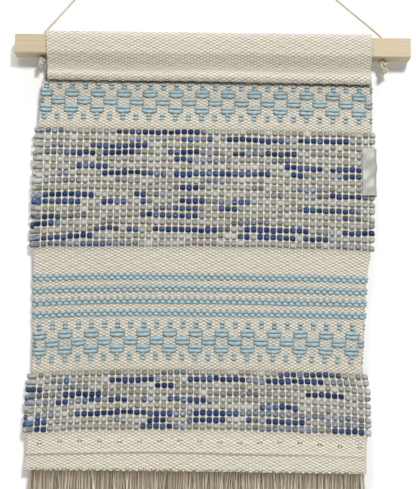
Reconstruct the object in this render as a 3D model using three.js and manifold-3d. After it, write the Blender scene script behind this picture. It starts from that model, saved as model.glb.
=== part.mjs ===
// A handwoven tapestry that hangs from a square wooden bar and a knotted cord.
// Units are millimetres. +X is to the viewer's right, -Y faces the viewer, +Z is up.
// The origin is the top of the inside of the hanging loop, where a nail carries it.
import * as THREE from 'three';
import * as BufferGeometryUtils from 'three/addons/utils/BufferGeometryUtils.js';
import Module from 'manifold-3d';

const wasm = await Module();
wasm.setup();

// ---- Driving dimensions ----
const GAP = 0.3; // clearance between neighbouring solids

const bar = {
  length: 400,
  side: 20,
  edgeRadius: 1.2,
  centreX: 28, // the loop is tied left of the bar's middle
  centreZ: -196,
  holeSpacing: 345,
  holeDiameter: 4.6,
};
const cord = { diameter: 2.8, legClearance: 0.8 };
const loop = { width: 12, height: 15 };
const apexKnot = { width: 11, height: 9 };
const endKnot = { radius: 4.4, tailWidth: 7, tailLength: 10 };

const cloth = {
  thickness: 2.4,
  sleeveLeft: -167.5, // from the bar's middle
  sleeveRight: 162,
  topLeft: -172.6,
  topRight: 161.8,
  // The cloth hangs plumb while the bar leans, so its foot sits further left.
  leftDrift: -5,
  rightDrift: -7.5,
};
const sleeve = { wallGap: GAP, slopeFootZ: -26.5, hemTopZ: -27, hemBottomZ: -36.2, hemThickness: 4.2 };

// Heights of the woven bands, measured down from the bar's middle.
const heights = {
  panelHinge: -38.6,
  upperIkatTop: -84.5,
  middleFold: -217,
  firstStripe: -230.4,
  lowerFold: -320.5,
  lowerIkatTop: -325.6,
  hemTop: -393,
  hemBottom: -424.5,
};
const pick = { thickness: 4.4, upperPitch: 7.04, upperCount: 17, lowerPitch: 6.575, lowerCount: 9 };
const pickOverhang = 3.8; // the thick picks turn outside the plain selvedge
const stripe = { thickness: 3.2, height: 6.6, pitch: 12.07, count: 4 };
const hem = { thickness: 4.6, threadZ: -400, stitchPitch: 9.75 };
const label = { front: 14, height: 47.8, topZ: -103, thickness: 0.6, clearance: 0.5 };
const fringe = { length: 92, thickness: 2.6, strandWidth: 9.2, gap: 2.6, header: 6, taper: 2.2 };
const thread = { diameter: 0.9 };

// ---- Finishes ----
function finish(colour, roughness) {
  return new THREE.MeshStandardMaterial({ color: colour, roughness, metalness: 0 });
}
const finishes = {
  wood: finish(0xdcc9a3, 0.55),
  cord: finish(0xe4dcc6, 0.9),
  cream: finish(0xd8d2c0, 0.95),
  ikat: finish(0x5a6f96, 0.95),
  paleBlue: finish(0xa5bfc9, 0.95),
  label: finish(0xd9d6ce, 0.5),
  thread: finish(0x6d5a45, 0.9),
  fringe: finish(0xb7ab94, 0.95),
};

// ---- Helpers ----
const tapestry = new THREE.Group();

function addNode(name, geometry, material) {
  const mesh = new THREE.Mesh(geometry, material);
  mesh.name = name;
  tapestry.add(mesh);
  return mesh;
}

// A profile drawn in (y, z) and swept along X between two ends.
function sweepAlongX(profile, left, right) {
  const shape = new THREE.Shape(profile.map(([y, z]) => new THREE.Vector2(y, z)));
  const depth = right - left;
  const geometry = new THREE.ExtrudeGeometry(shape, { depth, bevelEnabled: false, steps: 1 });
  const axes = new THREE.Matrix4().makeBasis(
    new THREE.Vector3(0, 1, 0),
    new THREE.Vector3(0, 0, 1),
    new THREE.Vector3(1, 0, 0),
  );
  geometry.applyMatrix4(axes);
  geometry.translate(bar.centreX + left, 0, bar.centreZ);
  return geometry;
}

function arcPoints(centreY, centreZ, radius, from, to, steps) {
  const points = [];
  for (let i = 0; i <= steps; i++) {
    const angle = from + ((to - from) * i) / steps;
    points.push([centreY + radius * Math.cos(angle), centreZ + radius * Math.sin(angle)]);
  }
  return points;
}

// A slab of cloth, square at its edges or half-round where a fold or a turned edge needs it.
function slabProfile(top, bottom, thickness, roundTop, roundBottom) {
  const half = thickness / 2;
  const upper = roundTop
    ? arcPoints(0, top - half, half, 0, Math.PI, 8)
    : [[half, top], [-half, top]];
  const lower = roundBottom
    ? arcPoints(0, bottom + half, half, Math.PI, 2 * Math.PI, 8)
    : [[-half, bottom], [half, bottom]];
  return [...upper, ...lower];
}

// The plain selvedges at a height below the bar's middle.
function edgesAt(z) {
  const share = (heights.panelHinge - z) / (heights.panelHinge - heights.hemBottom);
  const down = Math.min(Math.max(share, 0), 1);
  return [cloth.topLeft + cloth.leftDrift * down, cloth.topRight + cloth.rightDrift * down];
}

function addBand(name, top, bottom, options = {}) {
  const { thickness = cloth.thickness, material = finishes.cream, wider = 0 } = options;
  const profile = slabProfile(top, bottom, thickness, options.roundTop, options.roundBottom);
  const [left, right] = edgesAt((top + bottom) / 2);
  return addNode(name, sweepAlongX(profile, left - wider, right + wider), material);
}

// A round cord along a smooth path.
function tubeAlong(points, diameter, sides, steps) {
  const section = new THREE.Shape();
  for (let i = 0; i < sides; i++) {
    const angle = (2 * Math.PI * i) / sides;
    const x = (diameter / 2) * Math.cos(angle);
    const y = (diameter / 2) * Math.sin(angle);
    if (i === 0) section.moveTo(x, y);
    else section.lineTo(x, y);
  }
  const path = new THREE.CatmullRomCurve3(points, false, 'centripetal');
  return new THREE.ExtrudeGeometry(section, { steps, extrudePath: path, bevelEnabled: false });
}

function toSolid(geometry) {
  const bare = geometry.index ? geometry.toNonIndexed() : geometry.clone();
  bare.deleteAttribute('normal');
  bare.deleteAttribute('uv');
  const merged = BufferGeometryUtils.mergeVertices(bare, 1e-4);
  const vertProperties = new Float32Array(merged.attributes.position.array);
  const triVerts = new Uint32Array(merged.index.array);
  return new wasm.Manifold(new wasm.Mesh({ numProp: 3, vertProperties, triVerts }));
}

function toGeometry(solid) {
  const { vertProperties, triVerts, numProp } = solid.getMesh();
  const places = new Float32Array((vertProperties.length / numProp) * 3);
  for (let i = 0; i < places.length / 3; i++) {
    places.set(vertProperties.subarray(i * numProp, i * numProp + 3), i * 3);
  }
  const geometry = new THREE.BufferGeometry();
  geometry.setAttribute('position', new THREE.BufferAttribute(places, 3));
  geometry.setIndex(new THREE.BufferAttribute(new Uint32Array(triVerts), 1));
  return geometry;
}

// ---- The bar, with an upright hole near each end for the cord ----
function makeBar() {
  const half = bar.side / 2;
  const eased = half - bar.edgeRadius;
  const profile = [
    ...arcPoints(eased, eased, bar.edgeRadius, 0, Math.PI / 2, 3),
    ...arcPoints(-eased, eased, bar.edgeRadius, Math.PI / 2, Math.PI, 3),
    ...arcPoints(-eased, -eased, bar.edgeRadius, Math.PI, 1.5 * Math.PI, 3),
    ...arcPoints(eased, -eased, bar.edgeRadius, 1.5 * Math.PI, 2 * Math.PI, 3),
  ];
  let wood = toSolid(sweepAlongX(profile, -bar.length / 2, bar.length / 2));
  for (const side of [-1, 1]) {
    const drill = new THREE.CylinderGeometry(bar.holeDiameter / 2, bar.holeDiameter / 2, 30, 20);
    drill.rotateX(Math.PI / 2);
    drill.translate(bar.centreX + (side * bar.holeSpacing) / 2, 0, bar.centreZ);
    wood = wood.subtract(toSolid(drill));
  }
  addNode('wooden_bar', toGeometry(wood), finishes.wood);
}

// ---- The cord: a tied loop over the nail, two taut legs, and a knot under each hole ----
const barTop = bar.centreZ + bar.side / 2;
const barBottom = bar.centreZ - bar.side / 2;
const apexZ = -loop.height; // middle of the knot that ties the loop

function makeLoopAndKnot() {
  const r = cord.diameter / 2;
  const loopTop = r;
  const foot = apexZ + apexKnot.height / 2 - 0.2;
  const halfWidth = loop.width / 2;
  const middle = (loopTop + foot) / 2;
  const points = [
    new THREE.Vector3(-1.7, 0, foot + GAP),
    new THREE.Vector3(-halfWidth * 0.75, 0, foot + 3.2),
    new THREE.Vector3(-halfWidth, 0, middle + 1),
    new THREE.Vector3(-halfWidth * 0.7, 0, loopTop - 1.6),
    new THREE.Vector3(0, 0, loopTop),
    new THREE.Vector3(halfWidth * 0.7, 0, loopTop - 1.6),
    new THREE.Vector3(halfWidth, 0, middle + 1),
    new THREE.Vector3(halfWidth * 0.75, 0, foot + 3.2),
    new THREE.Vector3(1.7, 0, foot + GAP),
  ];
  addNode('hanging_loop', tubeAlong(points, cord.diameter, 8, 32), finishes.cord);
  const knot = new THREE.SphereGeometry(1, 16, 10);
  knot.scale(apexKnot.width / 2, apexKnot.height / 2 - 0.6, apexKnot.height / 2 - 0.2);
  knot.translate(0, 0, apexZ - 0.1);
  addNode('hanging_knot', knot, finishes.cord);
}

// A taut leg from the loop's knot to the mouth of the hole below it.
function makeLeg(name, side) {
  const holeX = bar.centreX + (side * bar.holeSpacing) / 2;
  const mouth = new THREE.Vector3(holeX, 0, barTop + cord.legClearance);
  const turn = new THREE.Vector3(holeX - side * 0.5, 0, mouth.z + 2.2);
  const apex = new THREE.Vector3(0, 0, apexZ);
  const along = new THREE.Vector3().subVectors(turn, apex).normalize();
  const start = apex.clone().addScaledVector(along, apexKnot.width / 2 + GAP + 0.3);
  const points = [start];
  const straight = 6;
  for (let i = 1; i <= straight; i++) {
    points.push(start.clone().lerp(turn, (i / straight) * 0.985));
  }
  points.push(new THREE.Vector3(holeX - side * 0.05, 0, mouth.z + 0.8), mouth);
  addNode(name, tubeAlong(points, cord.diameter, 8, 76), finishes.cord);
}

// The stretch inside the hole, and the knot with its frayed tail underneath.
function makeCordEnd(name, side) {
  const holeX = bar.centreX + (side * bar.holeSpacing) / 2;
  const height = bar.side - GAP;
  const stub = new THREE.CylinderGeometry(cord.diameter / 2, cord.diameter / 2, height, 12);
  stub.rotateX(Math.PI / 2);
  stub.translate(holeX, 0, bar.centreZ - GAP / 2 + 0.1);
  addNode(`cord_in_hole_${name}`, stub, finishes.cord);

  const r = endKnot.radius;
  const outline = [new THREE.Vector2(0, 0)];
  for (const degrees of [25, 50, 75, 100, 125, 145]) {
    const angle = (degrees * Math.PI) / 180;
    outline.push(new THREE.Vector2(r * Math.sin(angle), -r + r * Math.cos(angle)));
  }
  const tail = endKnot.tailWidth / 2;
  outline.push(new THREE.Vector2(tail, -2 * r - endKnot.tailLength));
  outline.push(new THREE.Vector2(0, -2 * r - endKnot.tailLength));
  const knot = new THREE.LatheGeometry(outline.reverse(), 14);
  knot.rotateX(Math.PI / 2);
  knot.translate(holeX, 0, barBottom - GAP);
  addNode(`cord_knot_${name}`, knot, finishes.cord);
}

// ---- The sleeve: the cloth's top end, taken over the bar and sewn to its own front ----
function makeSleeve() {
  const inner = bar.side / 2 + sleeve.wallGap;
  const outer = inner + cloth.thickness;
  const { sleeveLeft: left, sleeveRight: right } = cloth;
  const top = [[outer, inner], [outer - 1, outer], [-outer + 1, outer], [-outer, inner]];
  addNode('sleeve_top', sweepAlongX(top, left, right), finishes.cream);
  for (const [name, side] of [['sleeve_front', -1], ['sleeve_back', 1]]) {
    const upper = inner - GAP;
    const lower = -bar.side / 2;
    const nearWood = side * inner;
    const outside = side * outer;
    const wall = [[nearWood, upper], [outside, upper], [outside, lower], [nearWood, lower]];
    if (side > 0) wall.reverse();
    addNode(name, sweepAlongX(wall, left, right), finishes.cream);
  }
  const slopeTop = -bar.side / 2 - GAP;
  const frontFoot = -cloth.thickness / 2 - GAP - sleeve.hemThickness / 2;
  const frontSlope = [
    [-inner, slopeTop],
    [-outer, slopeTop],
    [frontFoot - cloth.thickness / 2, sleeve.slopeFootZ],
    [frontFoot + cloth.thickness / 2, sleeve.slopeFootZ],
  ];
  addNode('sleeve_front_slope', sweepAlongX(frontSlope, left, right), finishes.cream);
  const backFootZ = heights.panelHinge + cloth.thickness / 2 + GAP;
  const backSlope = [
    [inner, slopeTop],
    [cloth.thickness / 2 - 1.4, backFootZ + 1],
    [cloth.thickness / 2 - 0.8, backFootZ],
    [cloth.thickness / 2, backFootZ],
    [cloth.thickness / 2 + 0.8, backFootZ + 1.4],
    [outer, slopeTop],
  ];
  addNode('sleeve_back_slope', sweepAlongX(backSlope, left, right), finishes.cream);

  const hemHalf = sleeve.hemThickness / 2;
  const hemY = frontFoot;
  const hemProfile = [
    ...arcPoints(hemY, sleeve.hemTopZ - hemHalf, hemHalf, 0, Math.PI, 6),
    ...arcPoints(hemY, sleeve.hemBottomZ + hemHalf, hemHalf, Math.PI, 2 * Math.PI, 6),
  ];
  addNode('flap_hem', sweepAlongX(hemProfile, left, right), finishes.cream);
}

// A whipped or running thread that zigzags along X.
function makeThread(name, y, z, rise, pitch, left, right) {
  const points = [];
  const count = Math.floor((right - left) / pitch);
  for (let i = 0; i <= count; i++) {
    const x = bar.centreX + left + i * pitch;
    points.push(new THREE.Vector3(x, y, bar.centreZ + z + (i % 2 ? rise : -rise)));
  }
  addNode(name, tubeAlong(points, thread.diameter, 5, count * 2), finishes.thread);
}

// ---- The panel, band by band ----
function makePicks(prefix, top, pitch, count) {
  for (let i = 0; i < count; i++) {
    const upper = top - i * pitch - GAP / 2;
    const lower = top - (i + 1) * pitch + GAP / 2;
    const name = `${prefix}_${String(i + 1).padStart(2, '0')}`;
    const half = pick.thickness / 2;
    const profile = [
      [half * 0.55, upper], [-half * 0.55, upper], [-half, upper - 1.6], [-half, lower + 1.6],
      [-half * 0.55, lower], [half * 0.55, lower], [half, lower + 1.6], [half, upper - 1.6],
    ];
    const [left, right] = edgesAt((upper + lower) / 2);
    const strip = sweepAlongX(profile, left - pickOverhang, right + pickOverhang);
    addNode(name, strip, finishes.ikat);
  }
}

function makePanel() {
  const half = cloth.thickness / 2;
  const h = heights;
  addBand('upper_diamond_band', h.panelHinge + half, h.upperIkatTop + GAP / 2, { roundTop: true });
  makePicks('upper_ikat_pick', h.upperIkatTop, pick.upperPitch, pick.upperCount);
  const upperIkatBottom = h.upperIkatTop - pick.upperPitch * pick.upperCount;
  addBand('plain_band_above_fold', upperIkatBottom - GAP / 2, h.middleFold + half + GAP);
  addBand('plain_band_below_fold', h.middleFold + half, h.firstStripe + GAP / 2, { roundTop: true });

  for (let i = 0; i < stripe.count; i++) {
    const top = h.firstStripe - i * stripe.pitch;
    const bottom = top - stripe.height;
    const options = { thickness: stripe.thickness, material: finishes.paleBlue, wider: 0.4 };
    addBand(`blue_stripe_${i + 1}`, top - GAP / 2, bottom + GAP / 2, options);
    if (i < stripe.count - 1) {
      addBand(`stripe_spacer_${i + 1}`, bottom - GAP / 2, top - stripe.pitch + GAP / 2);
    }
  }
  const stripesBottom = h.firstStripe - (stripe.count - 1) * stripe.pitch - stripe.height;
  addBand('lower_diamond_band', stripesBottom - GAP / 2, h.lowerFold + half + GAP);
  addBand('plain_band_lower_fold', h.lowerFold + half, h.lowerIkatTop + GAP / 2, { roundTop: true });
  makePicks('lower_ikat_pick', h.lowerIkatTop, pick.lowerPitch, pick.lowerCount);
  const lowerIkatBottom = h.lowerIkatTop - pick.lowerPitch * pick.lowerCount;
  addBand('plain_band_above_hem', lowerIkatBottom - GAP / 2, h.hemTop + GAP / 2);
  addBand('bottom_hem', h.hemTop - GAP / 2, h.hemBottom, {
    thickness: hem.thickness,
    roundBottom: true,
  });
}

// The label is folded round the right-hand selvedge over some of the thick picks.
function makeLabel() {
  const inside = pick.thickness / 2 + label.clearance;
  const outside = inside + label.thickness;
  const [, right] = edgesAt(label.topZ);
  const edge = bar.centreX + right + pickOverhang + 1.2;
  const back = edge - label.front;
  const outline = [
    [back, -outside], [edge, -outside], [edge + label.thickness, -inside],
    [edge + label.thickness, inside], [edge, outside], [back, outside],
    [back, inside], [edge - 0.2, inside], [edge - 0.2, -inside], [back, -inside],
  ];
  const shape = new THREE.Shape(outline.map(([x, y]) => new THREE.Vector2(x, y)));
  const geometry = new THREE.ExtrudeGeometry(shape, { depth: label.height, bevelEnabled: false });
  geometry.translate(0, 0, bar.centreZ + label.topZ - label.height);
  addNode('edge_label', geometry, finishes.label);
}

// The warp ends hang from the hem as a fringe of tapered locks on one header.
function makeFringe() {
  const top = heights.hemBottom - GAP;
  const [left, right] = edgesAt(heights.hemBottom);
  const pitch = fringe.strandWidth + fringe.gap;
  const count = Math.floor((right - left) / pitch);
  const start = (left + right - count * pitch) / 2;
  const outline = [new THREE.Vector2(start, top)];
  for (let i = 0; i < count; i++) {
    const x = start + i * pitch;
    const foot = top - fringe.length + 3 * ((i * 7) % 3);
    outline.push(new THREE.Vector2(x + fringe.gap / 2, top - fringe.header));
    outline.push(new THREE.Vector2(x + fringe.gap / 2 + fringe.taper, foot));
    outline.push(new THREE.Vector2(x + pitch - fringe.gap / 2 - fringe.taper, foot));
    outline.push(new THREE.Vector2(x + pitch - fringe.gap / 2, top - fringe.header));
  }
  outline.push(new THREE.Vector2(start + count * pitch, top));
  const shape = new THREE.Shape(outline);
  const options = { depth: fringe.thickness, bevelEnabled: false };
  const geometry = new THREE.ExtrudeGeometry(shape, options);
  geometry.rotateX(Math.PI / 2);
  geometry.translate(bar.centreX, fringe.thickness / 2, bar.centreZ);
  addNode('warp_fringe', geometry, finishes.fringe);
}

makeBar();
makeLoopAndKnot();
makeLeg('cord_leg_left', -1);
makeLeg('cord_leg_right', 1);
makeCordEnd('left', -1);
makeCordEnd('right', 1);
makeSleeve();
makePanel();
makeLabel();
makeFringe();
makeThread(
  'flap_thread',
  -cloth.thickness / 2 - thread.diameter / 2 - GAP,
  sleeve.hemBottomZ - 0.9,
  0.1,
  6.5,
  cloth.sleeveLeft + 2,
  cloth.sleeveRight - 2,
);
makeThread(
  'hem_thread',
  -hem.thickness / 2 - thread.diameter / 2 - GAP,
  hem.threadZ,
  0.6,
  hem.stitchPitch,
  cloth.topLeft + cloth.leftDrift + 4,
  cloth.topRight + cloth.rightDrift - 4,
);

export default tapestry;
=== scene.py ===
# %% [markdown]
# # A handwoven tapestry on a wooden bar
# A cotton cloth hangs from a square bar of pale wood. Its top end is taken over the bar
# and sewn to its own front, and a thin cord with a tied loop carries the bar. We make it
# yarn by yarn: the cloth's relief is worked out from the way its yarns cross, so a reader
# who knows a little weaving can follow every number. Sizes inside the helpers are
# millimetres from the bar's middle, because that is how a weaver would measure it.

# %% Load the frame
import math

import bmesh
import bpy
import numpy as np
from mathutils import Matrix, Vector


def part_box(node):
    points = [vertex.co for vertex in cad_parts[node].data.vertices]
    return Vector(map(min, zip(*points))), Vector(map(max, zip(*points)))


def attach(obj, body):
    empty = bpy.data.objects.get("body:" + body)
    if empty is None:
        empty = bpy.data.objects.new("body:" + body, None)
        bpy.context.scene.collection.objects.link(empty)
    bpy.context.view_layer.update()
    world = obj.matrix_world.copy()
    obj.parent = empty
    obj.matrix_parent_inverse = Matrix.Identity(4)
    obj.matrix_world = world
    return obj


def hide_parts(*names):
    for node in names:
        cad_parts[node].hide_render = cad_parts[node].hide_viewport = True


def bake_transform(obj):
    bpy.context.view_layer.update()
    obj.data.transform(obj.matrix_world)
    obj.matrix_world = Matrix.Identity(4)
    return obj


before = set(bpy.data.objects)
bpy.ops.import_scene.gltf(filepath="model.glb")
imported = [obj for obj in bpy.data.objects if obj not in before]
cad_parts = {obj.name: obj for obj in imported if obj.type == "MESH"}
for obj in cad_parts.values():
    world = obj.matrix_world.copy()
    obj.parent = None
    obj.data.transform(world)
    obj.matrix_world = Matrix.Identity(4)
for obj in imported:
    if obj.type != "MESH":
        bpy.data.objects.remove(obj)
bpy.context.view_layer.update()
MM = 0.001
bar_low, bar_high = (np.array(corner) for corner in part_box("wooden_bar"))
bar_middle = (bar_low + bar_high) / 2
bar_half = (bar_high - bar_low) / 2 / MM


def from_bar(node):
    """A node's box in millimetres from the bar's middle."""
    low, high = (np.array(corner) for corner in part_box(node))
    return (low - bar_middle) / MM, (high - bar_middle) / MM


print("bar half sizes, mm:", bar_half.round(1))

# %% [markdown]
# ## Camera
# The camera stands 1.3 m away, a little below the middle of the cloth, and looks slightly
# up, so the underside of the bar shows. It leans a fraction of a degree, because the bar
# doesn't hang quite level.

# %% Camera
look_at = Vector(bar_middle) + Vector((-2.4, 0, -201.4)) * MM
DISTANCE = 1.3
FILM_WIDTH, FOCAL_LENGTH = 36.0, 112.7  # the lens is given in millimetres
tilt_up = math.radians(6.9)
lean = math.radians(0.71)
forward = Vector((0, math.cos(tilt_up), math.sin(tilt_up)))
level = Vector((1, 0, 0))
upright = Vector((0, -math.sin(tilt_up), math.cos(tilt_up)))
right = level * math.cos(lean) + upright * math.sin(lean)
up = upright * math.cos(lean) - level * math.sin(lean)
lens = bpy.data.cameras.new("camera")
lens.sensor_fit = "HORIZONTAL"
lens.sensor_width = FILM_WIDTH
lens.lens = FOCAL_LENGTH
camera = bpy.data.objects.new("camera", lens)
bpy.context.collection.objects.link(camera)
turned = Matrix((right, up, -forward)).transposed().to_4x4()
camera.matrix_world = Matrix.Translation(look_at - forward * DISTANCE) @ turned
bpy.context.scene.camera = camera
print("camera at", [round(value, 3) for value in camera.matrix_world.translation])

# %% [markdown]
# ## Shader maths as plain Python
# A small class wraps a node's output, so that adding or multiplying two of them adds a Math
# node. A finish can then be written as a sum, which is much easier to read than its links.


# %% Shader maths
class Wire:
    """A node's output whose operators add Math nodes."""

    def __init__(self, tree, socket):
        self.tree = tree
        self.socket = socket

    def maths(self, operation, other):
        node = self.tree.nodes.new("ShaderNodeMath")
        node.operation = operation
        self.tree.links.new(self.socket, node.inputs[0])
        if isinstance(other, Wire):
            self.tree.links.new(other.socket, node.inputs[1])
        else:
            node.inputs[1].default_value = other
        return Wire(self.tree, node.outputs[0])

    def __add__(self, other):
        return self.maths("ADD", other)

    def __sub__(self, other):
        return self.maths("SUBTRACT", other)

    def __mul__(self, other):
        return self.maths("MULTIPLY", other)


print("shader maths ready")

# %% [markdown]
# ## A finish
# Every material is a Finish. One method makes any node: first its settings, then the values
# or links of its sockets. The other methods are the few nodes that cotton, wood and ribbon
# share: noise in the object's own space, a ramp, a mix, and a bump for the fibres.


# %% A finish
class Finish:
    """A material: its tree, its shader, and one way to add a node."""

    def __init__(self, name, roughness, sheen=0.0, specular=0.3):
        self.material = bpy.data.materials.new(name)
        self.material.use_nodes = True
        self.tree = self.material.node_tree
        self.shader = self.tree.nodes["Principled BSDF"]
        self.shader.inputs["Roughness"].default_value = roughness
        self.shader.inputs["Sheen Weight"].default_value = sheen
        self.shader.inputs["Specular IOR Level"].default_value = specular

    def node(self, kind, settings=None, sockets=None, output=0):
        made = self.tree.nodes.new(kind)
        for name, value in (settings or {}).items():
            setattr(made, name, value)
        for name, value in (sockets or {}).items():
            if isinstance(value, Wire):
                self.tree.links.new(value.socket, made.inputs[name])
            else:
                made.inputs[name].default_value = value
        return Wire(self.tree, made.outputs[output])

    def places(self):
        """Object space is the same at every pose, so the pattern never swims."""
        return self.node("ShaderNodeTexCoord", output="Object")

    def value(self, name):
        """A number kept on the mesh, such as the depth of the dye."""
        return self.node("ShaderNodeAttribute", {"attribute_name": name}, output="Fac")

    def stretched(self, scale):
        """Places scaled apart along each axis, for grain and fibres that run one way."""
        sockets = {"Vector": self.places(), "Scale": scale}
        return self.node("ShaderNodeMapping", sockets=sockets)

    def noise(self, scale, detail=3.0, vector=None, rough=0.5):
        sockets = {"Scale": scale, "Detail": detail, "Roughness": rough}
        sockets["Vector"] = vector or self.places()
        return self.node("ShaderNodeTexNoise", sockets=sockets)

    def ramp(self, factor, stops):
        made = self.tree.nodes.new("ShaderNodeValToRGB")
        while len(made.color_ramp.elements) < len(stops):
            made.color_ramp.elements.new(1.0)
        for element, (place, colour) in zip(made.color_ramp.elements, stops):
            element.position = place
            element.color = (*colour, 1.0)
        self.tree.links.new(factor.socket, made.inputs[0])
        return Wire(self.tree, made.outputs[0])

    def mix(self, factor, first, second, blend="MIX"):
        made = self.tree.nodes.new("ShaderNodeMix")
        made.data_type = "RGBA"
        made.blend_type = blend
        for index, value in ((0, factor), (6, first), (7, second)):
            if isinstance(value, Wire):
                self.tree.links.new(value.socket, made.inputs[index])
            elif index == 0:
                made.inputs[index].default_value = value
            else:
                made.inputs[index].default_value = (*value, 1.0)
        return Wire(self.tree, made.outputs[2])

    def smooth(self, value, low, high):
        """0 below low and 1 above high, with a soft step between."""
        sockets = {"Value": value, "From Min": low, "From Max": high}
        return self.node("ShaderNodeMapRange", {"interpolation_type": "SMOOTHSTEP"}, sockets)

    def colour(self, wire):
        self.tree.links.new(wire.socket, self.shader.inputs["Base Color"])

    def bump(self, height, strength, depth):
        sockets = {"Height": height, "Strength": strength, "Distance": depth}
        lifted = self.node("ShaderNodeBump", sockets=sockets)
        self.tree.links.new(lifted.socket, self.shader.inputs["Normal"])


print("finishes can be made")

# %% [markdown]
# ## Cotton finishes
# Undyed cotton is a warm cream. Between the yarns it looks brown, because light has to
# bounce before it gets out, and that shade is painted: each woven piece keeps a number called
# relief that says how deep a point lies, and on the thick yarns also how much light each side
# gets, and the finish paints shade colour where it is low. The thick weft was tied and dipped
# before weaving (ikat), so its colour changes along the yarn: a second number, dye, runs from
# 0, undyed grey, to 1, full indigo.

# %% Cotton finishes
CREAM = (0.59, 0.572, 0.51)
CREAM_SHADE = (0.225, 0.19, 0.125)
GREY = (0.425, 0.43, 0.4)
SLATE = (0.235, 0.262, 0.32)
MID_BLUE = (0.045, 0.1, 0.235)
NAVY = (0.01, 0.033, 0.145)
PALE_BLUE = (0.29, 0.385, 0.405)
PALE_BLUE_SHADE = (0.05, 0.085, 0.092)


def yarn_bump(finish, across=1900.0, along=420.0, depth=0.0006):
    """Fine fibres that run along a weft yarn, with a softer fuzz over them."""
    fibres = finish.noise(1.0, 2.0, finish.stretched((along, across, across)))
    fuzz = finish.noise(900.0, 3.0)
    finish.bump(fibres * 0.6 + fuzz * 0.4, 0.55, depth)
    return fibres


def cream_cotton(name="cream_cotton", light=CREAM, shadow=CREAM_SHADE):
    finish = Finish(name, 0.92, sheen=0.15, specular=0.15)
    fibres = yarn_bump(finish)
    patches = finish.noise(22.0, 2.0)
    rows = finish.noise(1.0, 2.0, finish.stretched((14.0, 60.0, 380.0)))
    # The relief number paints shade into the gaps between the grains.
    relief = finish.smooth(finish.value("relief"), 0.2, 0.85)
    base = finish.mix(relief, shadow, light)
    base = finish.mix(rows * 0.35, base, tuple(0.82 * part for part in light))
    base = finish.mix(patches * 0.18, base, (0.55, 0.49, 0.38))
    # Painted shade in the hem's needle holes and groove.
    dark = finish.smooth(finish.value("hole_and_groove_shade"), 0.3, 0.8)
    base = finish.mix(dark, base, (0.07, 0.05, 0.035))
    finish.colour(finish.mix(fibres * 0.16, base, (0.76, 0.73, 0.65)))
    return finish.material


def ikat_cotton():
    finish = Finish("ikat_cotton", 0.9, sheen=0.04, specular=0.1)
    fibres = yarn_bump(finish, 1000.0, 380.0, 0.0012)
    blotches = finish.noise(330.0, 2.0)
    streaks = finish.noise(1.0, 3.0, finish.stretched((330.0, 620.0, 620.0)), rough=0.6)
    depth = finish.value("dye") + (blotches - 0.5) * 0.5 + (streaks - 0.5) * 1.0
    stops = [(0.0, GREY), (0.19, GREY), (0.42, SLATE), (0.66, MID_BLUE), (0.95, NAVY)]
    dyed = finish.ramp(depth, stops)
    clouds = finish.smooth(finish.noise(170.0, 2.0), 0.4, 0.75)
    dyed = finish.mix(clouds * 0.5, dyed, (0.66, 0.66, 0.64), "MULTIPLY")
    # The relief number paints shade between the beads and on their undersides; shaded is the painted-shade
    # copy of the dyed colour.
    shade = finish.smooth(finish.value("relief"), 0.1, 0.9)
    shaded = finish.mix(0.85, dyed, (0.2, 0.18, 0.15), "MULTIPLY")
    pale_fibre = finish.mix(fibres * 0.1, dyed, (0.4, 0.45, 0.5))
    finish.colour(finish.mix(shade, shaded, pale_fibre))
    return finish.material


def pale_blue_cotton():
    finish = Finish("pale_blue_cotton", 0.9, sheen=0.12, specular=0.15)
    fibres = yarn_bump(finish, 900.0, 380.0, 0.0014)
    cloudy = finish.noise(1.0, 3.0, finish.stretched((220.0, 800.0, 800.0)))
    # The relief number paints shade around the floats and on their undersides.
    shade = finish.smooth(finish.value("relief"), 0.05, 0.95)
    base = finish.mix(shade, PALE_BLUE_SHADE, PALE_BLUE)
    base = finish.mix(finish.smooth(cloudy, 0.5, 0.75) * 0.5, base, (0.15, 0.215, 0.235))
    finish.colour(finish.mix(fibres * 0.3, base, (0.5, 0.6, 0.62)))
    return finish.material


cream = cream_cotton()
hem_cream = cream_cotton("hem_cotton", tuple(1.07 * part for part in CREAM), (0.27, 0.23, 0.15))
ikat = ikat_cotton()
pale_blue = pale_blue_cotton()
print("cotton finishes:", cream.name, ikat.name, pale_blue.name)

# %% [markdown]
# ## A closed skin from a rolled grid
# Every yarn and every stretch of cloth is one closed skin. It could be built ring by ring,
# but a flat grid that is rolled up is quicker and always has tidy quads: the grid's first
# and last columns land on the same place and are welded, and the two ends are filled.


# %% Rolled skins
def rolled(name, places, values, material):
    """A closed skin whose rings run along the first index of places, in mm from the bar."""
    rings, sides = places.shape[:2]
    skin = bmesh.new()
    bmesh.ops.create_grid(skin, x_segments=rings - 1, y_segments=sides, size=1)
    mesh = bpy.data.meshes.new(name)
    skin.to_mesh(mesh)
    skin.free()
    flat = np.empty(len(mesh.vertices) * 3)
    mesh.vertices.foreach_get("co", flat)
    flat = flat.reshape(-1, 3)
    ring = np.rint((flat[:, 0] + 1) / 2 * (rings - 1)).astype(int)
    side = np.rint((flat[:, 1] + 1) / 2 * sides).astype(int) % sides
    moved = places[ring, side] * MM + bar_middle
    mesh.vertices.foreach_set("co", moved.ravel())
    for label, table in values.items():
        kept = mesh.attributes.new(label, "FLOAT", "POINT")
        kept.data.foreach_set("value", table[ring, side].astype(np.float32))
    skin = bmesh.new()
    skin.from_mesh(mesh)
    bmesh.ops.remove_doubles(skin, verts=skin.verts, dist=1e-7)
    open_edges = [edge for edge in skin.edges if edge.is_boundary]
    bmesh.ops.holes_fill(skin, edges=open_edges, sides=0)
    bmesh.ops.recalc_face_normals(skin, faces=skin.faces)
    skin.to_mesh(mesh)
    skin.free()
    mesh.polygons.foreach_set("use_smooth", [True] * len(mesh.polygons))
    mesh.materials.append(material)
    piece = bpy.data.objects.new(name, mesh)
    bpy.context.collection.objects.link(piece)
    return piece


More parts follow.
